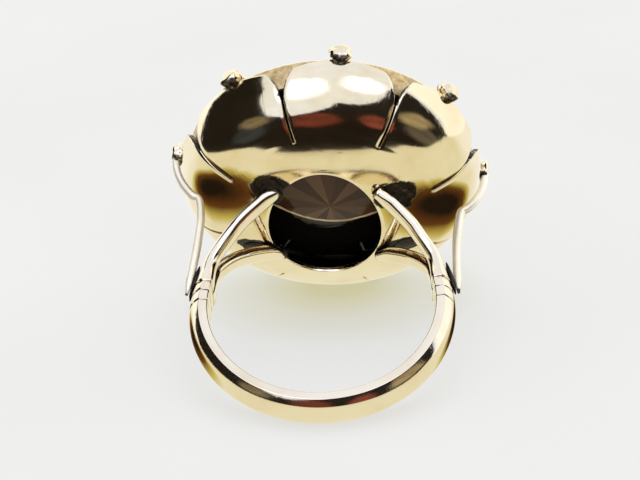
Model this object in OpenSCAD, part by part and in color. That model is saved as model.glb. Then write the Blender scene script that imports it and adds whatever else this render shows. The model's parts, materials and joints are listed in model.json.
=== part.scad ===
// Cocktail ring: a large round faceted stone in a cup of sawn petals, on a slim finger band.
// It is drawn upright about the finger (head up the Z axis, finger along the Y axis)
// and then laid down the way it rests on a table, on one claw and the edge of the band.

/* [Finger band] */
// Inside diameter of the band
finger_d = 17.2; // [14:0.1:22]
// Width of the band along the finger
band_w = 3.0; // [2.4:0.1:4]
// Height above the finger at which the band forks
fork_h = 2.0; // [1:0.1:3]
// Depth of the decorative cuts across each shoulder
cut_depth = 0.22; // [0.1:0.02:0.4]
// How far to the left of the head the band sits
band_offset = 0.5; // [0:0.1:0.8]

/* [Shoulders] */
// Width of each branch of the fork, along the finger
branch_w = 1.5; // [1:0.1:2]
// Thickness of each branch
branch_t = 1.0; // [0.8:0.05:1.2]
// How far each branch stands off the finger, so that only the band bears on it
branch_relief = 0.45; // [0.3:0.05:0.5]
// How far each branch's middle has spread from the band where it meets the cup
branch_spread = 3.7; // [3.2:0.1:4.2]
// Diameter of the outer strut at each side
strut_d = 0.7; // [0.5:0.05:1]

/* [Cup] */
// Number of petals, an even number
petal_count = 8; // [6:2:12]
// Turn of the petals about the head's axis
head_turn = 6; // [-15:1:15]
// Outer radius of the cup at its rim
cup_r = 12.1; // [11.5:0.1:13]
// Height of the bottom of the cup's curve above the finger's axis
cup_base = 8.0; // [7.9:0.05:8.5]
// Radius of the shallow curve across the cup's bottom
dish_r = 20.9; // [18:0.1:26]
// Radius of the curve that turns the bottom up into the petals
corner_r = 5; // [4:0.1:6]
// Thickness of the sheet
sheet_t = 0.45; // [0.3:0.05:0.7]
// Height of the petals' corners
petal_corner = 14.05; // [13:0.05:14.2]
// Height of the petals' tips
petal_tip = 14.85; // [14.6:0.05:15]
// Width of the saw cuts between petals
saw_w = 0.25; // [0.15:0.05:0.5]
// Distance from the head's axis at which the saw cuts stop
saw_end = 8.45; // [7.5:0.05:9.5]
// Length of the oval opening behind the stone, along the finger
window_l = 12.0; // [10:0.1:12.6]
// Width of the oval opening, across the finger
window_w = 8.9; // [7:0.1:9.2]
// How far to the left of the middle the opening was sawn
window_left = 0.4; // [0:0.1:0.6]
// How far towards the back the opening was sawn
window_back = 0.4; // [0:0.1:0.6]

/* [Setting] */
// Outer radius of the collar round the stone
collar_r = 11.4; // [11.2:0.05:11.5]
// Height of the collar's top
collar_top = 15.5; // [15:0.05:15.55]
// Wall of the collar
collar_t = 0.4; // [0.3:0.05:0.5]
// Radius of the bead at the root of each claw
claw_bead = 0.62; // [0.5:0.02:0.7]

/* [Stone] */
// Radius of the stone at its girdle
stone_r = 10.95; // [10.8:0.05:11]
// Height of the girdle's lower edge
girdle = 14.35; // [14.1:0.05:14.5]
// Height of the point at the stone's back
culet = 10.45; // [10:0.05:11]
// Height of the table, the flat on the stone's front
table_h = 18.45; // [17.5:0.05:19]
// Facets in each row round the stone
facets = 16; // [13:1:24]

/* [Hidden] */
$fn = 64;
finger_r = finger_d / 2;
band_t = band_w / 2; // the band's section is half round
branch_in = finger_r + branch_relief;
branch_out = branch_in + branch_t;
petal_angle = 360 / petal_count;

// the cup's corner curve runs on from the dish without a step
dish_z = cup_base + dish_r;
corner_x = cup_r - corner_r;
corner_z = dish_z - sqrt(pow(dish_r - corner_r, 2) - pow(corner_x, 2));
join_angle = asin(corner_x / (dish_r - corner_r));

strut_r = strut_d / 2;
claw_r = cup_r + 0.1;
claw_h = petal_tip + 0.4;
claw_tip_r = 0.32;

// laid down: the lowest claw's bead and the band's edge touch the same flat surface
lowest_claw = claw_r * cos(head_turn);
reach = norm([lowest_claw, claw_h + finger_r]);
rest_tilt = atan2(lowest_claw, claw_h + finger_r) - asin((band_t - claw_bead) / reach);
lift = band_t + finger_r * sin(rest_tilt);
far_end = claw_h * cos(rest_tilt) + lowest_claw * sin(rest_tilt) + claw_bead;
near_end = -finger_r * cos(rest_tilt) - band_t;
centre_y = (far_end + near_end) / 2;

CLAWS = [for (k = [1:petal_count]) str("claw_", k)];

// ---- placing ----
// upright, the head's axis is the Z axis and the finger's axis crosses it, a little to its left

// from upright on the finger to lying on the table
module laid_down() {
    translate([0, -centre_y, lift])
        rotate([rest_tilt - 90, 0, 0])
            children();
}

// turns a shape drawn at the near side of the head to petal number k
module at_petal(k) {
    rotate([0, 0, head_turn + (k - 1) * petal_angle - 90])
        children();
}

// a solid whose axis is the finger's
module along_finger() {
    translate([-band_offset, 0, 0])
        rotate([90, 0, 0])
            children();
}

// ---- shared shapes ----

// outline of the cup's curve, filled up to height top, drawn as radius and height
module cup_outline(inset, top) {
    steps = 6;
    dish = [for (i = [0:steps]) i * join_angle / steps];
    corner = [for (i = [1:2 * steps]) join_angle + i * (90 - join_angle) / (2 * steps)];
    turn = corner_r - inset;
    curve = concat(
        [for (a = dish) [(dish_r - inset) * sin(a), dish_z - (dish_r - inset) * cos(a)]],
        [for (a = corner) [corner_x + turn * sin(a), corner_z - turn * cos(a)]]
    );
    intersection() {
        polygon(concat(curve, [[cup_r - inset, corner_z + 4], [0, corner_z + 4]]));
        square([cup_r + 1, top]);
    }
}

// everything above the cup's outer face
module above_cup() {
    rotate_extrude()
        cup_outline(0, petal_tip + 3);
}

// a bar of round section between two points
module rod(from, to, r1, r2) {
    along = to - from;
    translate(from)
        rotate([0, acos(along[2] / norm(along)), atan2(along[1], along[0])])
            cylinder(h = norm(along), r1 = r1, r2 = r2);
}

// ---- finger band ----

// half-round section, flat side to the finger
module band_section(r) {
    intersection() {
        translate([finger_r, 0])
            circle(r);
        translate([finger_r, -r])
            square([r, 2 * r]);
    }
}

// a shallow V cut that follows the band's rounded face
module shoulder_cut(angle) {
    rotate([0, angle - 90, 0])
        translate([finger_r, 0, 0])
            rotate_extrude()
                polygon([[band_t - cut_depth, 0], [band_t + 0.1, 0.22], [band_t + 0.1, -0.22]]);
}

module band() {
    color("khaki")
    difference() {
        along_finger()
            rotate_extrude()
                band_section(band_t);
        translate([-20, -20, fork_h])
            cube([40, 40, 20]);
        for (side = [0, 1], angle = [83, 89])
            translate([-band_offset, 0, 0])
                mirror([side, 0, 0])
                    shoulder_cut(angle);
    }
}

// ---- forked shoulders ----

// middle of a branch seen down the head's axis, from the middle of the band: level with the
// band at first, then spreading to the cup; slip is how far the head is off to its side
function bend(t, slip) = (1 - t) * (1 - t) * [6.6 + slip / 2, 2.1]
    + 2 * t * (1 - t) * [8.1 + slip / 4, 0.9] + t * t * [9.3, 0.75];

function branch_path(slip) = concat(
    [[3.9 + slip, branch_spread]],
    [for (i = [0:6]) bend(i / 6, slip)],
    [[finger_r + 2, 0.75]]
);

module branch_plan(slip) {
    half = [0, branch_w / 2];
    path = branch_path(slip);
    last = len(path) - 1;
    polygon(concat([for (p = path) p - half], [for (i = [last:-1:0]) path[i] + half]));
}

// side 0 is right and 1 is left; rear 0 is the front branch and 1 the back one
module branch(side, rear) {
    color("khaki")
    difference() {
        intersection() {
            along_finger()
                difference() {
                    cylinder(r = branch_out, h = 14, center = true);
                    cylinder(r = branch_in, h = 15, center = true);
                }
            translate([-band_offset, 0, fork_h])
                mirror([side, 0, 0])
                    mirror([0, 1 - rear, 0])
                        linear_extrude(height = 10)
                            branch_plan(band_offset * (1 - 2 * side));
        }
        above_cup();
    }
}

// the strut's middle line as distance from the head's axis and height: it stands on the
// shoulder, rises to the cup and follows its petal up to the claw
strut_foot = finger_r + band_t + strut_r - 0.05;
strut_gap = strut_r + 0.01;
strut_line = concat(
    [for (i = [0:5]) [strut_foot - 0.3 * sin(i * 24), 1 + i * 1.55]],
    [for (a = [38:8:86]) [
        corner_x + (corner_r + strut_gap) * sin(a),
        corner_z - (corner_r + strut_gap) * cos(a)
    ]],
    [[cup_r + strut_gap, petal_tip - 0.03]]
);

// it leaves the band's middle, turns on the way up to meet the middle of its petal and
// crosses over by the band's offset
function strut_point(i, side) = let (
        p = strut_line[i],
        turn = head_turn * min(1, p[1] / 10) + 180 * side,
        off = band_offset * (1 - min(1, max(0, p[1] - 2) / 7))
    ) [p[0] * cos(turn) - off, p[0] * sin(turn), p[1]];

// the ring of points round a swept bar's middle line at its point i
function ring_round(i, last, r, sides, side) = let (
        p = strut_point(i, side),
        along = strut_point(min(last, i + 1), side) - strut_point(max(0, i - 1), side),
        u = cross(along, [0, 1, 0]) / norm(cross(along, [0, 1, 0])),
        v = cross(along, u) / norm(cross(along, u))
    ) [for (k = [0:sides - 1]) p + r * (cos(k * 360 / sides) * u + sin(k * 360 / sides) * v)];

module strut(side) {
    sides = 16;
    last = len(strut_line) - 1;
    rings = [
        for (i = [0:last]) ring_round(i, last, i == 0 ? strut_r * 0.6 : strut_r, sides, side)
    ];
    color("khaki")
    polyhedron(
        points = [for (ring = rings, p = ring) p],
        faces = concat(
            [[for (k = [0:sides - 1]) k]],
            [for (i = [0:last - 1], k = [0:sides - 1]) let (next = (k + 1) % sides) [
                i * sides + k, (i + 1) * sides + k, (i + 1) * sides + next, i * sides + next
            ]],
            [[for (k = [sides - 1:-1:0]) last * sides + k]]
        )
    );
}

// ---- petal cup ----

// outline of the gap between two petals, seen from outside: a saw cut that opens into a V,
// then the petals' shoulders rising to their tips
module petal_gap() {
    half_pitch = cup_r * tan(petal_angle / 2) + 0.05;
    side = [
        [saw_w / 2, 6],
        [saw_w / 2, petal_corner - 1.9],
        [0.4, petal_corner - 0.7],
        [0.9, petal_corner],
        [half_pitch * 0.5, petal_tip - 0.35],
        [half_pitch * 0.84, petal_tip - 0.1],
        [half_pitch * 0.9, petal_tip],
        [half_pitch * 0.9, petal_tip + 2]
    ];
    polygon(concat(side, [for (i = [len(side) - 1:-1:0]) [-side[i][0], side[i][1]]]));
}

module window() {
    translate([-window_left, window_back, 0])
        linear_extrude(height = 12)
            polygon([for (a = [0:11.25:359]) [window_w / 2 * cos(a), window_l / 2 * sin(a)]]);
}

module petal_cup() {
    color("khaki")
    difference() {
        rotate_extrude()
            difference() {
                cup_outline(0, petal_tip);
                cup_outline(sheet_t, petal_tip + 1);
            }
        window();
        for (k = [1:petal_count])
            at_petal(k + 0.5)
                translate([saw_end, 0, 0])
                    rotate([90, 0, 90])
                        linear_extrude(height = 6)
                            petal_gap();
    }
}

// ---- setting ----

// the inside of the cup's curve at a distance from the axis
function cup_inside(x) = corner_z - sqrt(pow(corner_r - sheet_t, 2) - pow(x - corner_x, 2));

module bezel_collar() {
    color("wheat")
    rotate_extrude()
        difference() {
            translate([collar_r - collar_t, cup_inside(collar_r - collar_t)])
                square([collar_t, collar_top - cup_inside(collar_r - collar_t)]);
            difference() {
                square([collar_r + 1, collar_top - 1]);
                cup_outline(sheet_t - 0.01, collar_top);
            }
        }
}

module stone_seat() {
    bore = stone_r - 0.75;
    outer = collar_r - collar_t;
    color("wheat")
    rotate_extrude()
        polygon([
            [outer, girdle - 1.2],
            [outer, girdle - 0.1],
            [bore, girdle - 0.8],
            [bore, girdle - 1.2]
        ]);
}

// rows of flat facets: each ring has a radius and a height, from the back to the table
module stone() {
    fan_r = stone_r * 2 / 3;
    rings = [
        [0.1, culet],
        [fan_r, culet + fan_r * tan(8)],
        [stone_r, girdle],
        [stone_r, girdle + 0.4],
        [stone_r - 1.9, girdle + 2.2],
        [stone_r * 0.57, table_h]
    ];
    last = len(rings) - 1;
    color("saddlebrown")
    polyhedron(
        points = [for (ring = rings, k = [0:facets - 1]) let (a = (k + 0.5) * 360 / facets) [
            ring[0] * cos(a), ring[0] * sin(a), ring[1]
        ]],
        faces = concat(
            [[for (k = [0:facets - 1]) k]],
            [for (i = [0:last - 1], k = [0:facets - 1]) let (next = (k + 1) % facets) [
                i * facets + k, (i + 1) * facets + k, (i + 1) * facets + next, i * facets + next
            ]],
            [[for (k = [facets - 1:-1:0]) last * facets + k]]
        )
    );
}

// a bead on the petal's tip, with a finger bent in over the collar and the stone's edge
module claw(k) {
    tip = [stone_r - 0.35, 0, claw_h + 0.28];
    color("khaki")
    at_petal(k)
        difference() {
            union() {
                translate([claw_r, 0, claw_h])
                    sphere(claw_bead);
                rod([claw_r - 0.1, 0, claw_h + 0.3], tip, claw_bead * 0.7, claw_tip_r);
                translate(tip)
                    sphere(claw_tip_r);
            }
            translate([claw_r - 3, -3, petal_tip - 6])
                cube([6, 6, 6]);
            translate([0, 0, collar_top - 3])
                difference() {
                    cylinder(r = collar_r + 0.01, h = 3.01);
                    translate([0, 0, -1])
                        cylinder(r = collar_r - collar_t - 0.01, h = 5);
                }
        }
}

laid_down() band();
laid_down() branch(1, 0);  // front_left_branch
laid_down() branch(0, 0);  // front_right_branch
laid_down() branch(1, 1);  // back_left_branch
laid_down() branch(0, 1);  // back_right_branch
laid_down() strut(1);  // left_strut
laid_down() strut(0);  // right_strut
laid_down() petal_cup();
laid_down() bezel_collar();
laid_down() stone_seat();
laid_down() stone();
for (k = [1:petal_count])
    laid_down() claw(k);
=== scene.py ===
import json
import math

import bmesh
import bpy
from mathutils import Matrix, Vector, noise


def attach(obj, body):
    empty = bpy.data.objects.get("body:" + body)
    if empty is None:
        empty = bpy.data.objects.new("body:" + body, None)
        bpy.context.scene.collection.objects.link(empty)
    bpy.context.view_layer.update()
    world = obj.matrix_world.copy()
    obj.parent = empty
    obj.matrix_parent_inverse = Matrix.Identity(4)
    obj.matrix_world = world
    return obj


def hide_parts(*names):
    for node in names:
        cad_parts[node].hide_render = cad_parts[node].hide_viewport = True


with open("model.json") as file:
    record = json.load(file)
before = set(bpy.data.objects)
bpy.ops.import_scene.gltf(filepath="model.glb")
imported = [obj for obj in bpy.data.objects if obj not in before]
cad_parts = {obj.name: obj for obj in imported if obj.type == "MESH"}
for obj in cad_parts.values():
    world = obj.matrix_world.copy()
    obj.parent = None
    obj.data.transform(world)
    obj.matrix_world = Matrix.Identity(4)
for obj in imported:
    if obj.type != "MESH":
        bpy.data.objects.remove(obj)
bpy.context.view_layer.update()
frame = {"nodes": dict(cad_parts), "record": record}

# ---------------------------------------------------------------- sizes, in millimetres
# Upright on the finger: X across the finger, Y along it (its near side is -Y), Z along the
# head's axis, with heights counted from the finger's axis.

MOUNT = frame["record"]["mounts"][0]
FINGER_R = MOUNT["dims"]["r_mm"]
BAND_OFFSET = -1000 * MOUNT["pos_m"][0]     # of its middle from the head's axis, along -X
BAND_T = 1.5
BAND_OUT = FINGER_R + BAND_T
BAND_HALF_W = BAND_T                # the section is half-round
FORK_H = 2.0                        # height at which the band divides into its branches
FORK_TURN = math.acos(FORK_H / (FINGER_R + 0.7))    # the same as an angle from the top
CUT_DEPTH = 0.10                    # V cuts across each shoulder
CUT_HALF_W = 0.12
CUT_ANGLES = (83, 89)               # in degrees from the top

BRANCH_T = 1.0
BRANCH_W = 1.44
BRANCH_MID = FINGER_R + 0.45 + BRANCH_T / 2     # radius of the branches' middle lines
BRANCH_DROP = 0.15                  # the half band's middle is this far inside a branch's
BRANCH_SPREAD = 3.7                 # from the band's middle plane to the branches' tips
BRANCH_TIP = 3.75                   # from the head's axis to their tips, across the finger

PETALS = 8
PITCH = 2 * math.pi / PETALS
HEAD_TURN = math.radians(6)         # the head sits a little turned on the band
CUP_R = 12.1                        # the outer face of the petals' upright part
CUP_BASE = 8.0                      # the dish's lowest height
DISH_R = 20.9                       # radius of the dish's curve
CORNER_R = 5.0                      # radius of the curve from the dish up into the petals
SHEET_T = 0.45
SAW_W = 0.17                        # the slits between petals
SAW_END = 8.45                      # distance from the axis where they stop
PETAL_CORNER = 14.05                # heights of a petal's shoulders and of its tip
PETAL_TIP = 14.85
WINDOW = (-0.4, 0.4, 4.45, 6.0)     # middle x, middle y, half width, half length

COLLAR_R = 11.4
COLLAR_T = 0.4
COLLAR_TOP = 15.5
STRUT_R = 0.35
CLAW_R = CUP_R + 0.1
CLAW_H = PETAL_TIP + 0.4
CLAW_REACH = CLAW_R + 0.62          # no part of a claw goes further out
LAST_CLAW_SHIFT = 0.045             # in radians, from its even place

STONE_R = 10.95
GIRDLE = 14.35                      # heights of the stone's edge, its point and its table
CULET = 10.45
TABLE_H = 18.45
FACETS = 16

# where the ring lies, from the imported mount: the finger's axis and its tilt
AXIS = Vector(MOUNT["axis"])
TILT = math.atan2(-AXIS.y, AXIS.z)
LAID = (
    Matrix.Translation((0, MOUNT["pos_m"][1], MOUNT["pos_m"][2]))
    @ Matrix.Rotation(TILT - math.pi / 2, 4, "X")
    @ Matrix.Scale(0.001, 4)
)

# the way back to upright millimetres, and the direction straight up from the table in them
TO_UPRIGHT = LAID.inverted()
UPWARD = (TO_UPRIGHT.to_3x3() @ Vector((0, 0, 1))).normalized()

# the cup's corner curve runs on from its dish
DISH_Z = CUP_BASE + DISH_R
CORNER_X = CUP_R - CORNER_R
CORNER_Z = DISH_Z - math.sqrt((DISH_R - CORNER_R) ** 2 - CORNER_X ** 2)
JOIN = math.asin(CORNER_X / (DISH_R - CORNER_R))


# ---------------------------------------------------------------- helpers

def smoothstep(a, b, x):
    """0 on a's side, 1 on b's side, and a soft slope between them."""
    t = min(1.0, max(0.0, (x - a) / (b - a)))
    return t * t * (3 - 2 * t)


def interpolate(points, x):
    """The height of a line through (x, y) points, held level past its ends."""
    if x <= points[0][0]:
        return points[0][1]
    for (x0, y0), (x1, y1) in zip(points, points[1:]):
        if x <= x1:
            return y0 + (y1 - y0) * (x - x0) / (x1 - x0)
    return points[-1][1]


def waver(p, size, amount, seed=0.0):
    """A slow uneven shift, as hand-worked metal has."""
    return amount * noise.noise(Vector(p) / size + Vector((seed, seed * 1.7, -seed)))


def cup_height(rho):
    """Height of the cup's outer face at a distance from the head's axis."""
    if rho <= DISH_R * math.sin(JOIN):
        return DISH_Z - math.sqrt(DISH_R ** 2 - rho ** 2)
    across = min(CORNER_R, rho - CORNER_X)
    return CORNER_Z - math.sqrt(CORNER_R ** 2 - across ** 2)


def cup_height_over(p):
    """The same at a point, which is taken as just inside the rim where it is further out."""
    return cup_height(min(math.hypot(p.x, p.y), CUP_R - 0.01))


def wall_distance(z):
    """Distance of the cup's outer face from the head's axis at a height in its corner or wall."""
    return CORNER_X + math.sqrt(CORNER_R ** 2 - max(0.0, CORNER_Z - z) ** 2)


def cup_profile(rho_from, z_to, steps):
    """Points (distance, height) along the cup's outer face, evenly spaced."""
    def arc(x, z, radius, turn_from, turn_to, count=59):
        turns = (turn_from + (turn_to - turn_from) * i / count for i in range(count + 1))
        return [(x + radius * math.sin(t), z - radius * math.cos(t)) for t in turns]

    dense = arc(0, DISH_Z, DISH_R, math.asin(rho_from / DISH_R), JOIN)
    dense += arc(CORNER_X, CORNER_Z, CORNER_R, JOIN, math.pi / 2)[1:]
    dense = [point for point in dense if point[1] < z_to]
    dense.append((wall_distance(z_to), z_to))
    length = [0.0]
    for a, b in zip(dense, dense[1:]):
        length.append(length[-1] + math.dist(a, b))
    lines = [list(zip(length, values)) for values in zip(*dense)]
    return [[interpolate(line, length[-1] * i / steps) for line in lines]
            for i in range(steps + 1)]


def make_object(name, verts, faces, material, nodes=(), smooth=True, stain_and_shade_at=None):
    """A mesh given upright in millimetres becomes a piece in its place on the table;
    stain_and_shade_at gives the firestain and painted shade at a point, from 0 to 1."""
    mesh = bpy.data.meshes.new(name)
    mesh.from_pydata([LAID @ Vector(v) for v in verts], [], faces)
    mesh.validate()
    bm = bmesh.new()
    bm.from_mesh(mesh)
    bmesh.ops.recalc_face_normals(bm, faces=bm.faces)
    bm.to_mesh(mesh)
    bm.free()
    if smooth:
        mesh.shade_smooth()
    stain_and_shade = mesh.attributes.new("stain_and_shade", "FLOAT", "POINT")
    stain_and_shade.data.foreach_set("value", [stain_and_shade_at(Vector(v)) if stain_and_shade_at else 0.0 for v in verts])
    mesh.materials.append(material)
    piece = bpy.data.objects.new(name, mesh)
    bpy.context.scene.collection.objects.link(piece)
    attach(piece, "root")
    if nodes:
        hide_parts(*nodes)
    return piece


def soften_edges(piece, width, over_degrees):
    """Round every edge that turns by more than an angle."""
    rounding = piece.modifiers.new("soft_edges", "BEVEL")
    rounding.width = width
    rounding.segments = 2
    rounding.limit_method = "ANGLE"
    rounding.angle_limit = math.radians(over_degrees)


def loft(rings, closed=False):
    """Points and faces of a skin over rings of equal length; its ends are capped unless closed."""
    n = len(rings[0])
    verts = [p for ring in rings for p in ring]
    last = len(rings) if closed else len(rings) - 1
    faces = []
    for i in range(last):
        j = (i + 1) % len(rings)
        for k in range(n):
            m = (k + 1) % n
            faces.append((i * n + k, j * n + k, j * n + m, i * n + m))
    if not closed:
        faces.append(tuple(range(n)))
        faces.append(tuple(reversed(range((len(rings) - 1) * n, len(rings) * n))))
    return verts, faces


def sweep(path, radii, sides, flat=None):
    """A round bar along a path; flat gives how thin each ring is for its width."""
    rings = []
    side = Vector((0, 1, 0))
    for i, p in enumerate(path):
        along = (path[min(i + 1, len(path) - 1)] - path[max(i - 1, 0)]).normalized()
        u = along.cross(side).normalized()
        v = along.cross(u).normalized()
        side = -v
        thin = flat[i] if flat else 1.0
        rings.append([
            p + radii[i] * (math.cos(a) * u + thin * math.sin(a) * v)
            for a in (2 * math.pi * k / sides for k in range(sides))
        ])
    return loft(rings)


def smooth_line(points, steps):
    """A smooth line through the points (Catmull-Rom), with even steps in each span."""
    pts = [Vector(p) for p in points]
    pts = [2 * pts[0] - pts[1]] + pts + [2 * pts[-1] - pts[-2]]
    out = []
    for i in range(1, len(pts) - 2):
        a, b, c, d = pts[i - 1:i + 3]
        for k in range(steps):
            t = k / steps
            out.append(0.5 * (2 * b + (c - a) * t + (2 * a - 5 * b + 4 * c - d) * t * t
                              + (3 * b - a - 3 * c + d) * t ** 3))
    out.append(pts[-2])
    return out


# ---------------------------------------------------------------- materials

def new_material(name):
    mat = bpy.data.materials.new(name)
    mat.use_nodes = True
    tree = mat.node_tree
    return mat, tree, tree.nodes["Principled BSDF"]


def feed(tree, target, inputs):
    """Give a node's inputs, by name or number, either a value or another node's output."""
    for key, value in inputs.items():
        if isinstance(value, bpy.types.NodeSocket):
            tree.links.new(value, target.inputs[key])
        else:
            target.inputs[key].default_value = value


def node(tree, kind, inputs, **settings):
    """A new node with its settings and its inputs."""
    made = tree.nodes.new(f"ShaderNode{kind}")
    for key, value in settings.items():
        setattr(made, key, value)
    feed(tree, made, inputs)
    return made


def object_place(tree):
    """Coordinates of the object's own space, which is the table's frame in metres."""
    return node(tree, "TexCoord", {}).outputs["Object"]


def attribute(tree, name):
    return node(tree, "Attribute", {}, attribute_name=name).outputs["Fac"]


def clouds(tree, place, scale, detail, roughness=0.5):
    """Noise between 0 and 1; a larger scale makes it finer."""
    return node(tree, "TexNoise", {
        "Vector": place, "Scale": scale, "Detail": detail, "Roughness": roughness}).outputs["Fac"]


def maths(tree, operation, *values):
    return node(tree, "Math", dict(enumerate(values)), operation=operation).outputs[0]


def map_range(tree, value, old, new=(0.0, 1.0), **settings):
    """A value whose old range becomes the new one, and is held level past its ends."""
    return node(tree, "MapRange", {
        "Value": value, "From Min": old[0], "From Max": old[1],
        "To Min": new[0], "To Max": new[1]}, **settings).outputs["Result"]


def ramp(tree, fac, stops):
    """Colours along a value, from stops of (value, colour)."""
    made = node(tree, "ValToRGB", {"Fac": fac})
    elements = made.color_ramp.elements
    while len(elements) < len(stops):
        elements.new(0.5)
    for element, (position, colour) in zip(elements, stops):
        element.position = position
        element.color = (*colour, 1)
    return made.outputs["Color"]


def mix_colour(tree, fac, a, b):
    return node(tree, "Mix", {"Factor": fac, "A": a, "B": b}, data_type="RGBA").outputs["Result"]


def bump(tree, height, strength, distance):
    return node(tree, "Bump", {
        "Height": height, "Strength": strength, "Distance": distance}).outputs["Normal"]


def mapping(tree, middle, half, turn=(0.0, 0.0, 0.0)):
    """Coordinates counted from a middle in half sizes, so that an ellipse's edge is at 1."""
    return node(tree, "Mapping", {
        "Vector": object_place(tree), "Location": middle, "Rotation": turn, "Scale": half,
    }, vector_type="TEXTURE").outputs["Vector"]


def length_of(tree, vector):
    return node(tree, "VectorMath", {0: vector}, operation="LENGTH").outputs["Value"]


def gold_material(name, tones, haze, metallic=1.0):
    """Pale gold: slow colour drift, fine scratches, and dark firestain and painted shade where a
    piece's stain_and_shade attribute puts them; haze is the range of its roughness."""
    mat, tree, shader = new_material(name)
    place = object_place(tree)
    drift = clouds(tree, place, 260.0, 3.0, 0.55)
    clean = ramp(tree, drift, list(zip((0.25, 0.5, 0.8), tones)))

    grain = clouds(tree, place, 1500.0, 5.0, 0.7)
    ragged = maths(tree, "MULTIPLY_ADD", grain, 0.9, -0.45)
    # the attribute carries firestain and painted shade alike; both darken and roughen the gold
    edge = maths(tree, "ADD", attribute(tree, "stain_and_shade"), ragged)
    stain_and_shade_mask = map_range(tree, edge, (0.42, 0.62), interpolation_type="SMOOTHSTEP")
    soot_and_shade = ramp(tree, grain, [
        (0.3, (0.012, 0.011, 0.010)), (0.55, (0.045, 0.035, 0.025)), (0.8, (0.22, 0.15, 0.08))])

    # hair scratches: thin streaks in two directions
    scratches = []
    for turn, stretch in ((0.5, (9000, 500, 900)), (2.1, (700, 8000, 1100))):
        slant = node(tree, "Mapping", {
            "Vector": place, "Rotation": (turn, 0.4 * turn, turn), "Scale": stretch})
        streak = clouds(tree, slant.outputs["Vector"], 1.0, 2.0)
        scratches.append(map_range(tree, streak, (0.62, 0.7)))
    height = maths(tree, "MULTIPLY_ADD", stain_and_shade_mask, grain, maths(tree, "ADD", *scratches))

    polish = map_range(tree, grain, (0.0, 1.0), haze)
    feed(tree, shader, {
        "Base Color": mix_colour(tree, stain_and_shade_mask, clean, soot_and_shade),
        "Metallic": metallic,
        "Roughness": maths(tree, "MULTIPLY_ADD", stain_and_shade_mask, 0.4, polish),
        "Normal": bump(tree, height, 0.05, 0.00003)})
    return mat


def burnt_material(name, tones):
    """Burnt or never polished metal: rough, with metal showing through; it also gives the
    collar's painted shade.
    """
    mat, tree, shader = new_material(name)
    grain = clouds(tree, object_place(tree), 2200.0, 6.0, 0.65)
    feed(tree, shader, {
        "Base Color": ramp(tree, grain, list(zip((0.35, 0.58, 0.76), tones))),
        "Metallic": 0.85,
        "Roughness": map_range(tree, grain, (0.0, 1.0), (0.25, 0.6)),
        "Normal": bump(tree, grain, 0.3, 0.00006)})
    return mat


def stone_material():
    """Smoky quartz: dark brown and glossy, with painted light that makes some facets lighter than
    others.
    """
    mat, tree, shader = new_material("smoky_stone")
    place = object_place(tree)
    tone = maths(tree, "MULTIPLY_ADD", clouds(tree, place, 180.0, 3.0), 0.25,
                 attribute(tree, "painted_facet_light"))
    feed(tree, shader, {
        "Base Color": ramp(tree, tone, [
            (0.0, (0.004, 0.003, 0.002)), (0.45, (0.035, 0.020, 0.013)),
            (0.8, (0.085, 0.048, 0.030)), (1.0, (0.15, 0.09, 0.055))]),
        "IOR": 1.55,
        "Coat Weight": 0.25,
        "Roughness": map_range(tree, clouds(tree, place, 3000.0, 4.0), (0.0, 1.0), (0.01, 0.07))})
    return mat


def pavilion_material():
    """The stone's back, with painted light in place of what the facets let through: brown over
    the fan, then a painted bright line, and painted black behind it, where the facets send no
    light out."""
    mat, tree, shader = new_material("smoky_pavilion")
    # upright millimetres, as the sizes above
    upright = mapping(tree, LAID.translation, (0.001, 0.001, 0.001), (TILT - math.pi / 2, 0, 0))
    split = node(tree, "SeparateXYZ", {0: upright})
    flaw = clouds(tree, upright, 1.3, 3.0)

    # how far back a point is, counted so that the bowed and slightly uneven line is level
    off = maths(tree, "SUBTRACT", split.outputs["X"], 0.5)
    bow = maths(tree, "MULTIPLY", off, off)
    behind = maths(tree, "MULTIPLY_ADD", bow, 0.07, split.outputs["Y"])
    behind = maths(tree, "MULTIPLY_ADD", flaw, 0.25, behind)
    line_at = 2.2
    # painted light: black behind the line, a bright broken line along it, and the fan's browns
    # before it
    dark = map_range(tree, behind, (line_at - 0.05, line_at + 0.07))
    away = maths(tree, "ABSOLUTE", maths(tree, "SUBTRACT", behind, line_at))
    line = map_range(tree, away, (0.17, 0.05))
    broken = maths(tree, "MULTIPLY", line, maths(tree, "MULTIPLY", flaw, 1.5))

    fan = ramp(tree, attribute(tree, "painted_facet_light"), [
        (0.0, (0.020, 0.009, 0.004)), (0.35, (0.050, 0.022, 0.009)),
        (0.55, (0.095, 0.048, 0.022)), (0.8, (0.17, 0.095, 0.050))])
    painted_fan_and_dark = mix_colour(tree, dark, fan, (0.004, 0.0035, 0.0025, 1))
    feed(tree, shader, {
        "Base Color": mix_colour(tree, broken, painted_fan_and_dark, (0.75, 0.55, 0.30, 1)),
        "Specular IOR Level": 0.22,
        "Roughness": map_range(tree, clouds(tree, upright, 4.0, 4.0), (0.0, 1.0), (0.02, 0.09))})
    return mat


def table_material():
    """The pale, faintly mottled sheet that the ring lies on, with a painted pool of the warm light
    that the cup throws down beside itself."""
    mat, tree, shader = new_material("pale_table")
    mottle = clouds(tree, object_place(tree), 30.0, 4.0)
    # painted light: a warm pool in the table's emission round a point beside the cup
    warm = length_of(tree, mapping(tree, (0.0, 0.0095, 0), (0.013, 0.011, 1)))
    feed(tree, shader, {
        "Base Color": ramp(tree, mottle, [
            (0.3, (0.20, 0.20, 0.197)), (0.7, (0.22, 0.22, 0.217))]),
        "Roughness": 0.6,
        "Specular IOR Level": 0.0,
        "Emission Color": ramp(tree, warm, [
            (0.15, (0.80, 0.77, 0.46)), (0.5, (0.92, 0.91, 0.76)), (1.0, (1.0, 1.0, 0.985))]),
        "Emission Strength": 0.60})
    return mat


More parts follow.
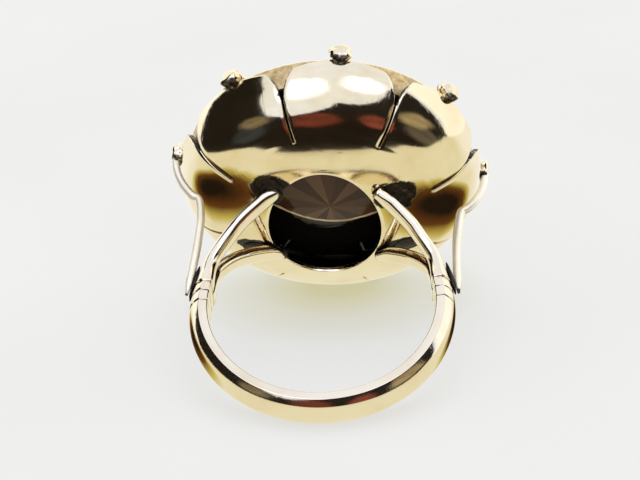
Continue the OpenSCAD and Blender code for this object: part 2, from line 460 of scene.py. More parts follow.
def shining_material(name, light):
    """A surface that only shines; light makes its colour, and a value that fades it out."""
    mat = bpy.data.materials.new(name)
    mat.use_nodes = True
    tree = mat.node_tree
    tree.nodes.clear()
    colour, strength, fade = light(tree)
    surface = node(tree, "Emission", {"Color": colour, "Strength": strength}).outputs[0]
    if fade is not None:
        clear = node(tree, "BsdfTransparent", {}).outputs[0]
        surface = node(tree, "MixShader", {0: fade, 1: surface, 2: clear}).outputs[0]
    node(tree, "OutputMaterial", {"Surface": surface})
    return mat


def lit_table_material():
    """A painted reflection of the table, which only the metal sees: a card that only shines, warm
    near the front and white behind the ring.
    """
    def light(tree):
        split = node(tree, "SeparateXYZ", {0: object_place(tree)})
        depth = map_range(tree, split.outputs["Y"], (-0.03, 0.03))
        return ramp(tree, depth, [
            (0.0, (0.50, 0.44, 0.30)), (0.12, (0.84, 0.80, 0.62)), (0.6, (0.86, 0.84, 0.68)),
            (0.9, (1.0, 1.0, 1.0))]), 1.0, None
    return shining_material("lit_table", light)


def shade_material(name, place, half, turn):
    """A soft-edged dark amber sheet just over the table, a painted dark reflection for the side
    petals to mirror.
    """
    def light(tree):
        reach = length_of(tree, mapping(tree, (*place, 0), (*half, 1), (0, 0, turn)))
        tone = ramp(tree, reach, [
            (0.3, (0.016, 0.010, 0.006)), (0.62, (0.13, 0.050, 0.012)), (0.85, (0.60, 0.52, 0.14))])
        return tone, 1.0, map_range(tree, reach, (0.85, 1.0))
    return shining_material(name, light)


def patch_material(name, middle, half, colour, strength):
    """A soft, uneven patch of light round a point of the dome."""
    def light(tree):
        local = mapping(tree, middle, half)
        cloud = clouds(tree, local, 1.4, 3.0)
        uneven = maths(tree, "MULTIPLY_ADD", cloud, 0.7, length_of(tree, local))
        tone = ramp(tree, cloud, [(0.35, tuple(0.6 * c for c in colour)), (0.6, colour)])
        return tone, strength, map_range(tree, uneven, (0.95, 1.25))
    return shining_material(name, light)


def glow_material(name, colour, strength):
    """A card that shines almost evenly."""
    def light(tree):
        cloud = clouds(tree, object_place(tree), 9.0, 3.0)
        tone = ramp(tree, cloud, [(0.35, tuple(0.9 * c for c in colour)), (0.65, colour)])
        return tone, strength, None
    return shining_material(name, light)


GOLD = gold_material("polished_gold", (
    (0.83, 0.70, 0.44), (0.90, 0.79, 0.55), (0.94, 0.85, 0.65)), (0.045, 0.13))
PALE_GOLD = gold_material("pale_gold", (
    (0.87, 0.75, 0.54), (0.93, 0.83, 0.64), (0.95, 0.88, 0.72)), (0.05, 0.14))
WIRE = gold_material("drawn_gold_wire", (
    (0.88, 0.79, 0.58), (0.94, 0.88, 0.72), (0.97, 0.92, 0.81)), (0.30, 0.45), 0.7)
SOLDER = burnt_material("burnt_solder", (
    (0.010, 0.009, 0.008), (0.035, 0.028, 0.022), (0.16, 0.12, 0.08)))
INSIDE = burnt_material("oxidised_inside", (
    (0.012, 0.009, 0.006), (0.03, 0.020, 0.012), (0.08, 0.05, 0.025)))
# painted shade: a darker tan for the collar's outer face below its top, behind the petals
SHADED_COLLAR = burnt_material("shaded_collar_gold", (
    (0.42, 0.29, 0.12), (0.70, 0.54, 0.28), (0.86, 0.72, 0.46)))
STONE = stone_material()
PAVILION = pavilion_material()


# ---------------------------------------------------------------- band

DOME_R = 2.0                        # the near half is a lower dome,
DOME_SHIFT = 0.13                   # whose top is a little behind the middle,
DOME_TURN = math.radians(38)
DOME_Y = DOME_R * math.sin(DOME_TURN) - DOME_SHIFT
DOME_EDGE = BAND_T - DOME_R * (1 - math.cos(DOME_TURN))
BEVEL_L = 0.50                      # then a bevel down to a short side wall
BEVEL_TURN = math.radians(44)
WALL_Y = DOME_Y + BEVEL_L * math.cos(BEVEL_TURN)
WALL_TOP = DOME_EDGE - BEVEL_L * math.sin(BEVEL_TURN)
# (height over the bore, distance from the middle): the near wall up to the bevel, and half of
# the bore with its worn edge
WALL = [(0.25, WALL_Y - 0.03), (0.45, WALL_Y - 0.01), (WALL_TOP - 0.08, WALL_Y + 0.02),
        (WALL_TOP - 0.03, WALL_Y + 0.025), (WALL_TOP, WALL_Y), (WALL_TOP + 0.17, WALL_Y - 0.18)]
BORE = [(0.10, 1.47), (0.035, 1.40), (0.01, 1.25), (0.0, 0.8), (0.0, 0.0)]
ARC_STEPS = 14
FAR_TURN = math.radians(84)         # how far round the far half's circle runs


def band_ring(angle):
    """The band's section at an angle from the top: half-round behind, squarer in front."""
    cut = 0.0
    for at in CUT_ANGLES:
        away = math.radians(abs(abs(math.degrees(angle)) - at)) * BAND_OUT
        cut = max(cut, CUT_DEPTH * max(0.0, 1 - away / CUT_HALF_W))
    section = [(FINGER_R + depth - cut * (depth > 0.5), -y) for depth, y in WALL]
    for k in range(ARC_STEPS + 1):
        g = DOME_TURN * (1 - k / ARC_STEPS)
        section.append((BAND_OUT - DOME_R * (1 - math.cos(g)) - cut,
                        DOME_SHIFT - DOME_R * math.sin(g)))
    for k in range(2, ARC_STEPS + 1):
        g = FAR_TURN * k / ARC_STEPS
        section.append((FINGER_R + (BAND_T - cut) * math.cos(g), (BAND_T - cut) * math.sin(g)))
    for depth, y in BORE + [(d, -y) for d, y in reversed(BORE[:-1])]:
        section.append((FINGER_R + depth, y * (1 - 0.4 * cut)))
    c, s = math.cos(angle), math.sin(angle)
    ring = []
    for r, y in section:
        r += waver((s * 9, y, c * 9), 4, 0.02)
        ring.append(Vector((r * s - BAND_OFFSET, y, r * c)))
    return ring


def build_band():
    """Rings from one fork round the bottom to the other, closer together at the cuts."""
    count, least_gap = 180, 0.004
    run = 2 * (math.pi - FORK_TURN)
    turns = [FORK_TURN + run * i / count for i in range(count + 1)]
    for at in CUT_ANGLES:
        for side in (-1, 1):
            middle = math.pi + side * (math.pi - math.radians(at))
            turns += [middle + step * CUT_HALF_W / BAND_OUT for step in (-1, -0.5, 0, 0.5, 1)]
    turns = sorted(set(round(turn, 5) for turn in turns))
    spaced = turns[:1]
    for turn in turns[1:]:
        if turn - spaced[-1] > least_gap:
            spaced.append(turn)
    verts, faces = loft([
        band_ring(turn if turn <= math.pi else turn - 2 * math.pi) for turn in spaced])

    def stain(p):
        turn = abs(math.degrees(math.atan2(p.x + BAND_OFFSET, p.z)))
        return 0.6 * smoothstep(1.0, 0.0, min(abs(turn - at) for at in CUT_ANGLES))

    make_object("shank", verts, faces, PALE_GOLD, ["band"], stain_and_shade_at=stain)


# ---------------------------------------------------------------- forked shoulders

def branch_middle(x, slip):
    """How far the branch's middle is from the band's middle plane, at a distance across the
    finger: level at its tip, then a parabola down to the band."""
    points = [(3.6 + slip, BRANCH_SPREAD + 0.2), (3.9 + slip, BRANCH_SPREAD)]
    a, b, c = (6.6 + slip / 2, 2.1), (8.1 + slip / 4, 0.9), (9.3, 0.75)
    for i in range(9):
        t = i / 8
        points.append(tuple((1 - t) ** 2 * p + 2 * t * (1 - t) * q + t * t * r
                            for p, q, r in zip(a, b, c)))
    return interpolate(points + [(12, 0.75)], x)


def half_band_reach(c, s, top_r):
    """How far half of the band's section runs from a point inside it, in a direction (c, s);
    top_r is the radius of its outer face."""
    step, limit = 0.01, 1.6
    start_r, start_y = BRANCH_MID - BRANCH_DROP, 0.72
    far = 0.0
    while far < limit:
        r = start_r + (far + step) * c
        y = start_y + (far + step) * s
        if (r < FINGER_R or not 0.01 <= y <= BAND_HALF_W
                or math.hypot(r - BAND_OUT + top_r, y) > top_r):
            break
        far += step
    return far


def branch_section(t, top_r):
    """Outline round the branch's middle, as (outwards, away from the band's middle): half of
    the band at its start, and a bar with rounded corners from a third of its length."""
    sides = 28
    power = 2.35                        # of the superellipse that rounds the bar
    blend = smoothstep(0.0, 0.32, t)
    out = []
    for k in range(sides):
        a = 2 * math.pi * k / sides
        c, s = math.cos(a), math.sin(a)
        reach = (abs(2 * c / BRANCH_T) ** power + abs(2 * s / BRANCH_W) ** power) ** (-1 / power)
        bar = (reach * c, reach * s)
        far = half_band_reach(c, s, top_r)
        half = (far * c - BRANCH_DROP, far * s)
        out.append(tuple(h + (b - h) * blend for h, b in zip(half, bar)))
    return out


def build_branch(place, side, rear):
    """side is 1 on the right and -1 on the left; rear is -1 in front and 1 at the back."""
    slip = BAND_OFFSET * side
    tip_turn = math.asin((BRANCH_TIP + slip) / BRANCH_MID)
    steps = 60
    path = []
    for i in range(steps + 1):
        a = FORK_TURN + (tip_turn - FORK_TURN) * i / steps
        path.append((a, branch_middle(BRANCH_MID * math.sin(a), slip)))
    rings = []
    for i, (a, y) in enumerate(path):
        t = i / steps
        a0, y0 = path[max(0, i - 1)]
        a1, y1 = path[min(steps, i + 1)]
        along = Vector(((a1 - a0) * BRANCH_MID, y1 - y0)).normalized()
        slim = 1 - 0.35 * smoothstep(0.86, 1.0, t)
        square = smoothstep(0.0, 0.3, t)
        ring = []
        for out, away in branch_section(t, DOME_R if rear < 0 else BAND_T):
            # the bar keeps its width square to its own run
            turn = a + away * slim * along.y / BRANCH_MID * square
            shift_y = away * slim * (1 + (abs(along.x) - 1) * square)
            r = BRANCH_MID + out + waver((a * 9, y, side * 5 + rear), 1.6, 0.035)
            p = Vector((side * r * math.sin(turn) - BAND_OFFSET, rear * (y + shift_y),
                        r * math.cos(turn)))
            p.z = min(p.z, cup_height_over(p) + 0.12)
            ring.append(p)
        rings.append(ring)
    verts, faces = loft(rings)

    def stain(p):
        return 0.85 * smoothstep(0.5, 0.05, cup_height_over(p) - p.z)

    make_object(f"{place}_fork", verts, faces, PALE_GOLD, [f"{place}_branch"], stain_and_shade_at=stain)


# ---------------------------------------------------------------- struts

def strut_path(side):
    """The strut's middle line: a slightly bowed run up from its foot on the shoulder, then
    round the cup's corner to its petal's tip."""
    foot_r, foot_z = BAND_OUT + STRUT_R - 0.05, 1.6
    bow, rise = 0.3, 1.43
    line = [(foot_r - bow * math.sin(math.radians(i * 24)), foot_z + i * rise) for i in range(6)]
    for degrees in range(38, 87, 8):
        a = math.radians(degrees)
        line.append((CORNER_X + (CORNER_R + STRUT_R) * math.sin(a),
                     CORNER_Z - (CORNER_R + STRUT_R) * math.cos(a)))
    line.append((CUP_R + STRUT_R, PETAL_TIP))
    points = []
    for r, z in line:
        # it leans from the band's middle to the head's, and round to the turned petal
        turn = HEAD_TURN * min(1, z / 10) + (0 if side > 0 else math.pi)
        off = BAND_OFFSET * (1 - min(1, max(0, z - 2) / 7))
        points.append((r * math.cos(turn) - off, r * math.sin(turn), z))
    return smooth_line(points, 5)


def build_strut(side_name, side):
    """A wire, thinner and flatter towards its foot."""
    path = strut_path(side)
    radii, flat = [], []
    for p in path:
        grown = smoothstep(1.5, 3.0, p.z)
        radii.append(STRUT_R * (0.30 + 0.70 * grown) * (1 + waver(p, 2.2, 0.10, side)))
        flat.append(1.0 - 0.15 * (1 - grown))
    verts, faces = sweep(path, radii, 20, flat)

    def stain(p):
        return 0.7 * smoothstep(2.6, 1.6, p.z) + 0.35 * smoothstep(12.8, 14.0, p.z)

    wire = make_object(f"{side_name}_wire", verts, faces, WIRE, [f"{side_name}_strut"],
                       stain_and_shade_at=stain)
    wire.visible_glossy = False


# ---------------------------------------------------------------- petal cup

# (height, half the gap between two petals): a slit that opens into a V at the rim
GAP_LINE = [(8.0, SAW_W / 2), (PETAL_CORNER - 2.1, SAW_W / 2), (PETAL_CORNER - 1.4, 0.24),
            (PETAL_CORNER - 0.8, 0.48), (PETAL_CORNER - 0.3, 0.80), (PETAL_CORNER, 1.02)]
# (distance from the gap's middle, height) along a petal's rounded rim
TIP_LINE = [(0.95, PETAL_CORNER), (1.3, PETAL_CORNER + 0.16), (2.5, PETAL_TIP - 0.35),
            (3.6, PETAL_TIP - 0.14), (4.5, PETAL_TIP - 0.02), (5.2, PETAL_TIP)]
LIFT_FROM = 0.55                    # the share of the way to the rim where the rim's rise starts


def petal_turn(petal):
    """Angle of a petal's middle round the head's axis; petal 0 is in front."""
    return HEAD_TURN - math.pi / 2 + petal * PITCH


def unevenness(x, y, z):
    return waver((x, y, z), 3.6, 0.035, 3.0)


def cup_point(rho, z, angle):
    """A point of the cup's outer face, a little uneven: up and down in the dish, and in and
    out in the upright part."""
    c, s = math.cos(angle), math.sin(angle)
    push = unevenness(rho * c, rho * s, z)
    outwards = smoothstep(9, 12, rho)
    r = rho + push * outwards
    return Vector((r * c, r * s, z + push * (1 - outwards)))


def petal_column(petal, u, outer, rows_in):
    """The points from the window's edge out to the petal's rim; u runs from -1 to 1 across the
    petal, and outer is the cup's profile past the saw cuts' ends."""
    slit = SAW_W / 2 / SAW_END
    angle = petal_turn(petal) + u * (PITCH / 2 - slit)
    middle_x, middle_y, half_w, half_l = WINDOW
    edge_x, edge_y = middle_x + half_w * math.cos(angle), middle_y + half_l * math.sin(angle)
    end_x, end_y = SAW_END * math.cos(angle), SAW_END * math.sin(angle)
    column = []
    for r in range(rows_in + 1):
        t = r / rows_in
        x, y = edge_x + (end_x - edge_x) * t, edge_y + (end_y - edge_y) * t
        column.append(Vector((x, y, cup_height(math.hypot(x, y)) + unevenness(x, y, 8))))
    for r, (rho, z) in enumerate(outer[1:], 1):
        lateral = u * (PITCH / 2 - interpolate(GAP_LINE, z) / rho)
        along = r / (len(outer) - 1)
        if along > LIFT_FROM:
            lift = ((along - LIFT_FROM) / (1 - LIFT_FROM)) ** 1.5
            rim = interpolate(TIP_LINE, CUP_R * (PITCH / 2 - abs(lateral)))
            z += lift * (rim - PETAL_CORNER)
            rho = wall_distance(z)
        column.append(cup_point(rho, z, petal_turn(petal) + lateral))
    return column


def cup_stain_and_shade(p):
    """Firestain at the front branches' tips and at the claws, firestain with painted shade round
    the back branches' tips, darker edges along the slits, and painted shade in the V notches.
    """
    rho = math.hypot(p.x, p.y)
    front = min(math.hypot((p.x - x) * 0.8, p.y - y) for x, y in ((-4.3, -3.9), (5.2, -2.9)))
    back = math.hypot((abs(p.x) - 5.6) * 0.5, p.y - BRANCH_SPREAD + 0.5)
    petals = (math.atan2(p.y, p.x) - petal_turn(0)) / PITCH
    claw = math.hypot(abs(petals - round(petals)) * PITCH * CUP_R, p.z - PETAL_TIP)
    slit = abs(abs(petals - math.floor(petals)) - 0.5) * PITCH * rho
    # the back term is firestain with painted shade: the cup's underside round the back branches is
    # darkened as shade
    stains_and_shades = [0.95 * smoothstep(1.9, 0.9, front), 0.9 * smoothstep(1.4, 0.7, back),
              0.7 * smoothstep(0.9, 0.2, claw)]
    if rho > SAW_END - 0.3 and p.z < PETAL_CORNER - 1:
        stains_and_shades.append(0.3 * smoothstep(0.30, 0.12, slit))
    # painted shade in the V notches, where the petals' rims part over the collar
    if p.z > PETAL_CORNER - 2.2:
        stains_and_shades.append(0.62 * smoothstep(0.30, 0.0, slit - interpolate(GAP_LINE, p.z)))
    return max(stains_and_shades)


def build_cup():
    """One sheet: the petals part at the slits, and join each other inside them."""
    across, rows_in, rows_out = 22, 14, 44
    outer = cup_profile(SAW_END, PETAL_CORNER, rows_out)
    rows = rows_in + rows_out
    verts, faces = [], []
    for petal in range(PETALS):
        for c in range(across + 1):
            verts += petal_column(petal, -1 + 2 * c / across, outer, rows_in)

    def at(petal, c, r):
        return (petal % PETALS * (across + 1) + c) * (rows + 1) + r

    for petal in range(PETALS):
        for c in range(across):
            for r in range(rows):
                faces.append((at(petal, c, r), at(petal, c + 1, r),
                              at(petal, c + 1, r + 1), at(petal, c, r + 1)))
        for r in range(rows_in):
            faces.append((at(petal, across, r), at(petal + 1, 0, r),
                          at(petal + 1, 0, r + 1), at(petal, across, r + 1)))

    cup = make_object("cup", verts, faces, GOLD, ["petal_cup"], stain_and_shade_at=cup_stain_and_shade)
    cup.data.materials.append(INSIDE)
    # the grid is the sheet's outer face: give it its thickness, then soften every edge
    inward = cup.modifiers.new("sheet", "SOLIDIFY")
    inward.thickness = 0.001 * SHEET_T
    inward.offset = -1
    inward.use_even_offset = True
    inward.material_offset = 1
    soften_edges(cup, 0.00007, 50)


# ---------------------------------------------------------------- setting

def build_collar():
    """A ring round the stone, with painted shade on its outside below the top, oxidised within,
    and with a rounded top.
    """
    count = 192
    inner = COLLAR_R - COLLAR_T
    round_r = COLLAR_T / 2
    base = CORNER_Z - math.sqrt((CORNER_R - SHEET_T) ** 2 - (inner - CORNER_X) ** 2) + 0.3
    profile = [(inner, base), (COLLAR_R, base + 0.25), (COLLAR_R, COLLAR_TOP - 0.8)]
    for k in range(9):
        a = math.pi * k / 8
        profile.append((COLLAR_R - round_r + round_r * math.cos(a),
                        COLLAR_TOP - round_r + round_r * math.sin(a)))
    profile.append((inner, COLLAR_TOP - 0.8))
    rings = []
    for i in range(count):
        c, s = math.cos(2 * math.pi * i / count), math.sin(2 * math.pi * i / count)
        uneven = waver((c * 11, s * 11, 0), 3, 0.04)
        rings.append([Vector((r * c, r * s, z + uneven * (z > 15))) for r, z in profile])
    verts, faces = loft(rings, closed=True)
    collar = make_object("collar", verts, faces, GOLD, ["bezel_collar"])
    collar.data.materials.append(SHADED_COLLAR)
    collar.data.materials.append(INSIDE)
    # painted shade: the outer face below the top takes the darker tan, the inner face the oxide
    for face in collar.data.polygons:
        middle = TO_UPRIGHT @ face.center
        if middle.z < COLLAR_TOP - 0.35:
            outside = math.hypot(middle.x, middle.y) > COLLAR_R - COLLAR_T / 2
            face.material_index = 1 if outside else 2


def build_claw(k):
    """A bead on the petal's tip with a finger bent in over the collar and the stone's edge."""
    sides, span = 16, 5
    turn = petal_turn(k - 1) + (LAST_CLAW_SHIFT if k == PETALS else 0)
    # (distance from the axis, height, radius) along the bead and the finger
    line = [(CUP_R + 0.02, PETAL_TIP - 0.55, 0.36), (CLAW_R + 0.12, CLAW_H - 0.25, 0.66),
            (CLAW_R + 0.05, CLAW_H + 0.15, 0.70), (CLAW_R - 0.45, CLAW_H + 0.42, 0.56),
            (COLLAR_R - 0.1, CLAW_H + 0.45, 0.42), (STONE_R - 0.15, CLAW_H + 0.32, 0.35),
            (STONE_R - 0.5, CLAW_H + 0.12, 0.22)]
    # each finger leans its own way, and the front claw is the widest
    lean = 0.12 * math.sin(k * 2.4)
    wide = 1.45 if k == 1 else 1.1 + 0.08 * math.sin(k * 1.9)
    across = Vector((-math.sin(turn), math.cos(turn), 0))
    points = []
    for r, z, _ in line:
        a = turn + lean * smoothstep(CLAW_R, STONE_R - 0.5, r) / CUP_R
        points.append((r * math.cos(a), r * math.sin(a), z))
    path = smooth_line(points, span)
    sizes = [(i, radius) for i, (_, _, radius) in enumerate(line)]
    radii = [interpolate(sizes, i / span) * (1 + waver(p, 0.5, 0.35, k))
             for i, p in enumerate(path)]
    radii[0] *= 0.5
    radii[-1] *= 0.5
    verts, faces = sweep(path, radii, sides)
    for i, v in enumerate(verts):
        # crumpled by the pusher, and wider than it is deep
        spine = path[i // sides]
        off = (v - spine) * (1 + 0.42 * noise.noise(v / 0.42 + Vector((k * 5.3, 0, k))))
        p = spine + off + across * off.dot(across) * (wide - 1)
        held = min(1, CLAW_REACH / math.hypot(p.x, p.y))
        p = Vector((p.x * held, p.y * held, p.z))
        # worn flat where it rests on the table
        verts[i] = p + UPWARD * max(0.0, -1000 * (LAID @ p).z)

    def stain(p):
        rho = math.hypot(p.x, p.y)
        spot = 0.45 + 0.55 * noise.noise(p / 0.45 + Vector((k * 3.1, 0, 0)))
        return max(0.6 * smoothstep(PETAL_TIP + 0.05, PETAL_TIP - 0.3, p.z) * (rho > 12),
                   0.50 * spot * smoothstep(11.2, 12.1, rho))

    claw = make_object(f"knob_{k}", verts, faces, GOLD, [f"claw_{k}"], stain_and_shade_at=stain)
    rounding = claw.modifiers.new("rounding", "SUBSURF")
    rounding.levels = rounding.render_levels = 1


def build_stone():
    """A convex cut stone: a fan of facets behind, then girdle, crown rows and table."""
    fan_r = STONE_R * 2 / 3
    fan_z = CULET + fan_r * math.tan(math.radians(8))
    step = 2 * math.pi / FACETS
    bm = bmesh.new()
    bm.verts.new((0, 0, CULET))
    for radius, z, shift in ((fan_r, fan_z, 0.5), (STONE_R, GIRDLE, 0.5),
                             (STONE_R, GIRDLE + 0.4, 0.5), (STONE_R - 1.9, GIRDLE + 2.2, 0.0),
                             (STONE_R * 0.57, TABLE_H, 0.5)):
        for k in range(FACETS):
            a = (k + shift) * step
            bm.verts.new((radius * math.cos(a), radius * math.sin(a), z))
    bmesh.ops.convex_hull(bm, input=bm.verts)
    bmesh.ops.dissolve_limit(bm, angle_limit=math.radians(0.6), verts=bm.verts, edges=bm.edges)
    bm.verts.index_update()
    verts = [v.co.copy() for v in bm.verts]
    faces = [tuple(v.index for v in f.verts) for f in bm.faces]
    bm.free()
    stone = make_object("cut_stone", verts, faces, STONE, ["stone"], smooth=False)
    stone.data.materials.append(PAVILION)
    # painted light: each face of the stone gets a brightness of its own, higher in the back's fan,
    # in place of light through and off the facets
    tones = []
    for face in stone.data.polygons:
        middle = TO_UPRIGHT @ face.center
        behind = middle.z < GIRDLE
        in_fan = middle.z < GIRDLE - 1 and math.hypot(middle.x, middle.y) < fan_r
        turn = math.atan2(middle.y, middle.x)
        face.material_index = 1 if behind else 0
        tones.append((0.45 if in_fan else 0.12) + 0.13 * math.sin(turn / step * 2.3)
                     + 0.22 * noise.noise(Vector((turn * 2.3, middle.z, 4.0))))
    painted_facet_light = stone.data.attributes.new("painted_facet_light", "FLOAT", "FACE")
    painted_facet_light.data.foreach_set("value", tones)
    soften_edges(stone, 0.00003, 3)


def build_solder(name, at, size, up, seed):
    """A ragged lump of burnt solder, flattened against the metal."""
    bm = bmesh.new()
    bmesh.ops.create_icosphere(bm, subdivisions=4, radius=1)
    normal = Vector(up).normalized()
    side = normal.cross(Vector((0.3, 1, 0.2))).normalized()
    other = normal.cross(side)
    verts = []
    for v in bm.verts:
        ragged = 1 + 0.30 * noise.noise(v.co * 1.4 + Vector((seed, 0, 0)))
        ragged += 0.08 * noise.noise(v.co * 4.0 + Vector((0, seed, 0)))
        q = v.co * ragged
        verts.append(Vector(at) + size[0] * q.x * side + size[1] * q.y * other
                     + size[2] * q.z * normal)
    faces = [tuple(v.index for v in f.verts) for f in bm.faces]
    bm.free()
    make_object(name, verts, faces, SOLDER)


# ---------------------------------------------------------------- the ring

SIDES = ((-1, "left"), (1, "right"))

build_band()
for side, side_name in SIDES:
    for rear, rear_name in ((-1, "front"), (1, "back")):
        build_branch(f"{rear_name}_{side_name}", side, rear)
    build_strut(side_name, side)
build_cup()
build_collar()
build_stone()
for k in range(1, PETALS + 1):
    build_claw(k)

seat = frame["nodes"]["stone_seat"]
seat.data.materials.clear()
seat.data.materials.append(INSIDE)

for side, side_name in SIDES:
    foot_x = side * (BAND_OUT - 0.25) - BAND_OFFSET
    build_solder(f"{side_name}_foot_solder", (foot_x, -0.1, 2.8), (1.3, 0.40, 0.20),
                 (side, 0, 0.25), 3.0 + side)
for place, x, y, half in (
        ("front_left", -4.3, -3.9, (0.85, 1.1)), ("front_right", 5.6, -2.4, (0.9, 1.1)),
        ("back_left", -5.6, 3.2, (1.5, 0.7)), ("back_right", 5.9, 3.2, (1.5, 0.7))):
    at = Vector((x, y, 0))
    at.z = cup_height_over(at)
    build_solder(f"{place}_tip_solder", at, (*half, 0.07), (x / DISH_R, y / DISH_R, -1),
                 7.0 + x + y)


# ---------------------------------------------------------------- table, light and camera

HIDDEN = ["camera", "diffuse", "shadow", "transmission"]    # so only reflections see a card
PATCH_MARGIN = 1.4                  # a card's half size, in half sizes of the patch on it
FLOOR_HALF = 30.0                   # this and the following are in metres
MIRROR_H = 0.00002                  # heights of the table as it is mirrored, and its shades
SHADE_H = 0.00005
DOME_H = 0.012                      # height of the domes' middle, and their radii
PATCH_R = 0.28
ROOM_R = 0.30
LAMP_R = 0.43
CEILING_R = 0.45


def card(name, verts, faces, material, hidden_from=HIDDEN):
    """A flat or curved sheet of the studio, in metres on the table."""
    mesh = bpy.data.meshes.new(name)
    mesh.from_pydata(verts, [], faces)
    mesh.materials.append(material)
    made = bpy.data.objects.new(name, mesh)
    bpy.context.scene.collection.objects.link(made)
    for ray in hidden_from:
        setattr(made, f"visible_{ray}", False)


def grid(points, columns):
    """The points of a grid, which run column by column, with its faces."""
    rows = len(points) // columns
    return points, [
        (i * rows + j, (i + 1) * rows + j, (i + 1) * rows + j + 1, i * rows + j + 1)
        for i in range(columns - 1) for j in range(rows - 1)
    ]


def sheet(edge_0, edge_1, half_x, z, n):
    """A level sheet n squares each way, between two edges given as functions of x."""
    points = []
    for i in range(n + 1):
        x = half_x * (2 * i / n - 1)
        points += [(x, edge_0(x) + (edge_1(x) - edge_0(x)) * j / n, z) for j in range(n + 1)]
    return grid(points, n + 1)


def dome_point(radius, az, el):
    """Azimuth 0 is towards the near side, -Y; both angles are in degrees."""
    az, el = math.radians(az), math.radians(el)
    return (radius * math.sin(az) * math.cos(el), -radius * math.cos(az) * math.cos(el),
            DOME_H + radius * math.sin(el))


def dome_patch(radius, az_from, az_to, low, high, steps, rows):
    """Part of a dome round the ring; low and high are the lines of its edges, as (azimuth,
    elevation)."""
    points = []
    for i in range(steps + 1):
        az = az_from + (az_to - az_from) * i / steps
        foot, top = interpolate(low, az), interpolate(high, az)
        points += [dome_point(radius, az, foot + (top - foot) * j / rows) for j in range(rows + 1)]
    return grid(points, steps + 1)


card("floor", *sheet(lambda x: -FLOOR_HALF, lambda x: FLOOR_HALF, FLOOR_HALF, 0.0, 8),
     table_material(), ["glossy"])
# a painted reflection of the table, which only polished metal sees: it ends a little in front
# of the ring, in a bow of (x, y) in millimetres, and is painted brighter behind it
TABLE_EDGE = [(-150, 40), (-74, 13), (-55, -8), (-38, -21), (-22, -24), (0, -28), (19, -23),
              (36, -20), (66, -23), (110, -21), (150, -20)]
card("table_near", *sheet(lambda x: interpolate(TABLE_EDGE, 1000 * x) / 1000, lambda x: 0.6,
                          0.15, MIRROR_H, 60), lit_table_material())

# the dark room round the near side, with its top and foot as (azimuth, elevation)
DARK_TOP = [(-125, 46), (-110, 49), (-90, 48), (-75, 46), (-60, 33), (-50, 24), (-40, 12),
            (-30, 8), (-20, 8), (-10, 11), (0, 18), (7, 29), (15, 25), (25, 25), (35, 28),
            (50, 36), (65, 44), (86, 42)]
DARK_FOOT = [(-125, 14), (-113, 4), (-104, -7), (-100, -60), (86, -60)]
card("dark_room", *dome_patch(ROOM_R, -125, 86, DARK_FOOT, DARK_TOP, 90, 12),
     glow_material("dim_room", (0.016, 0.012, 0.009), 1.0))

# what shows in front of it: azimuth, elevation, half width and half height in degrees, colour,
# strength and radius
for name, az, el, wide, tall, colour, strength, radius in (
        ("red_left", -8, -3, 18, 17, (1.0, 0.25, 0.15), 0.18, PATCH_R),
        ("red_right", 26, -3, 12, 15, (1.0, 0.27, 0.18), 0.26, PATCH_R),
        ("amber_left", -47, 5, 15, 9, (1.0, 0.80, 0.48), 0.24, PATCH_R),
        ("grey_left", -46, -9, 17, 13, (0.9, 1.0, 1.1), 0.05, PATCH_R + 0.001),
        ("amber_right", 60, 7, 20, 11, (1.0, 0.80, 0.48), 0.42, PATCH_R),
        ("grey_right", 58, -8, 19, 15, (1.0, 0.85, 0.68), 0.13, PATCH_R + 0.001),
        ("lamp_left", -29, 53, 22, 22, (0.95, 1.0, 1.25), 2.2, LAMP_R),
        ("lamp_right", 46, 55, 20, 17, (0.95, 1.0, 1.25), 2.2, LAMP_R)):
    half_w = PATCH_MARGIN * wide / math.cos(math.radians(el))
    half_h = PATCH_MARGIN * tall
    half = [radius * math.radians(degrees) for degrees in (wide, wide, tall)]
    card(name, *dome_patch(radius, az - half_w, az + half_w, [(az, el - half_h)],
                           [(az, el + half_h)], 12, 8),
         patch_material(f"{name}_glow", dome_point(radius, az, el), half, colour, strength))

# the white ceiling, a little blue so that the gold mirrors it nearly white
card("soft_box", *dome_patch(CEILING_R, -90, 90, [(0, 2)], [(0, 135)], 36, 24),
     glow_material("soft_box_glow", (0.94, 0.98, 1.14), 1.05))

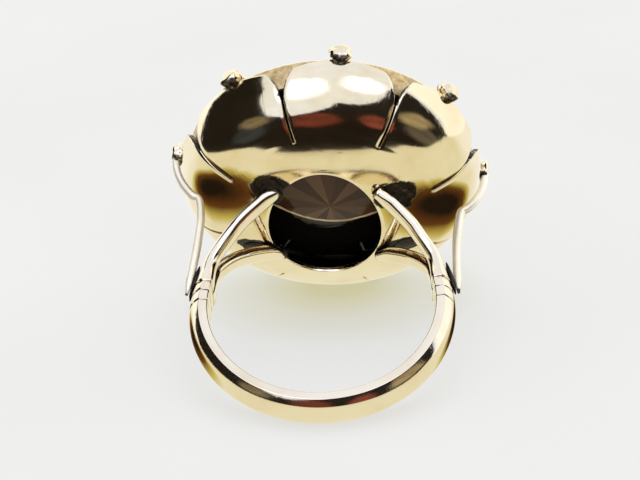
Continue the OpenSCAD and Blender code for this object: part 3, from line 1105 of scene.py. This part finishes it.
# painted dark reflections: sheets just over the table that only reflections see, given by
# middle, half sizes and turn
for name, place, half, turn in (
        ("shade_left", (-0.0225, 0.0012), (0.0180, 0.0090), math.radians(-35)),
        ("shade_right", (0.0158, 0.0030), (0.0135, 0.0072), math.radians(50))):
    c, s = math.cos(turn), math.sin(turn)
    corners = [(place[0] + c * half[0] * u - s * half[1] * v,
                place[1] + s * half[0] * u + c * half[1] * v, SHADE_H)
               for u, v in ((-1, -1), (1, -1), (1, 1), (-1, 1))]
    card(name, corners, [(0, 1, 2, 3)], shade_material(name, place, half, turn))

# even light from all round, and one soft lamp, high and a little behind
world = bpy.data.worlds.new("studio")
bpy.context.scene.world = world
world.use_nodes = True
sky = world.node_tree.nodes["Background"]
sky.inputs["Color"].default_value = (0.98, 0.985, 1.0, 1)
sky.inputs["Strength"].default_value = 1.2

lamp = bpy.data.lights.new("over", "AREA")
lamp.shape = "RECTANGLE"
lamp.size, lamp.size_y = 0.5, 0.4
lamp.energy = 0.5
over = bpy.data.objects.new("over", lamp)
over.location = (0.05, 0.12, 0.55)
over.rotation_euler = (-over.location).to_track_quat("-Z", "Y").to_euler()
over.visible_glossy = False
bpy.context.scene.collection.objects.link(over)

# the camera stands on the near side, beyond the band, and looks past it at the head's back;
# it is placed in upright millimetres
VIEW_TILT, VIEW_ROLL, VIEW_YAW = (math.radians(degrees) for degrees in (49.8, -1.0, -3.3))
DISTANCE, SIDESTEP, RISE = 150.0, 0.75, -5.21
FOCUS = Vector((0, 0, 0.15))        # what the distance is counted from
SENSOR = 36.0                       # width, and the focal length that goes with it
LENS = 111.206

c, s = math.cos(VIEW_YAW), math.sin(VIEW_YAW)
ct, st = math.cos(VIEW_TILT), math.sin(VIEW_TILT)
right = Vector((c, -s, 0))
up = Vector((-s * ct, -c * ct, st))
look = Vector((s * st, c * st, ct))
stand = FOCUS - SIDESTEP * right - RISE * up - DISTANCE * look
cr, sr = math.cos(VIEW_ROLL), math.sin(VIEW_ROLL)
axes = [cr * right - sr * up, sr * right + cr * up, -look]

pose = Matrix([(LAID.to_3x3() @ axis).normalized() for axis in axes]).transposed().to_4x4()
pose.translation = LAID @ stand
lens = bpy.data.cameras.new("camera")
lens.sensor_width = SENSOR
lens.lens = LENS
lens.clip_start = 0.005
camera = bpy.data.objects.new("camera", lens)
camera.matrix_world = pose
bpy.context.scene.collection.objects.link(camera)
bpy.context.scene.camera = camera
bpy.context.scene.view_settings.view_transform = "Standard"
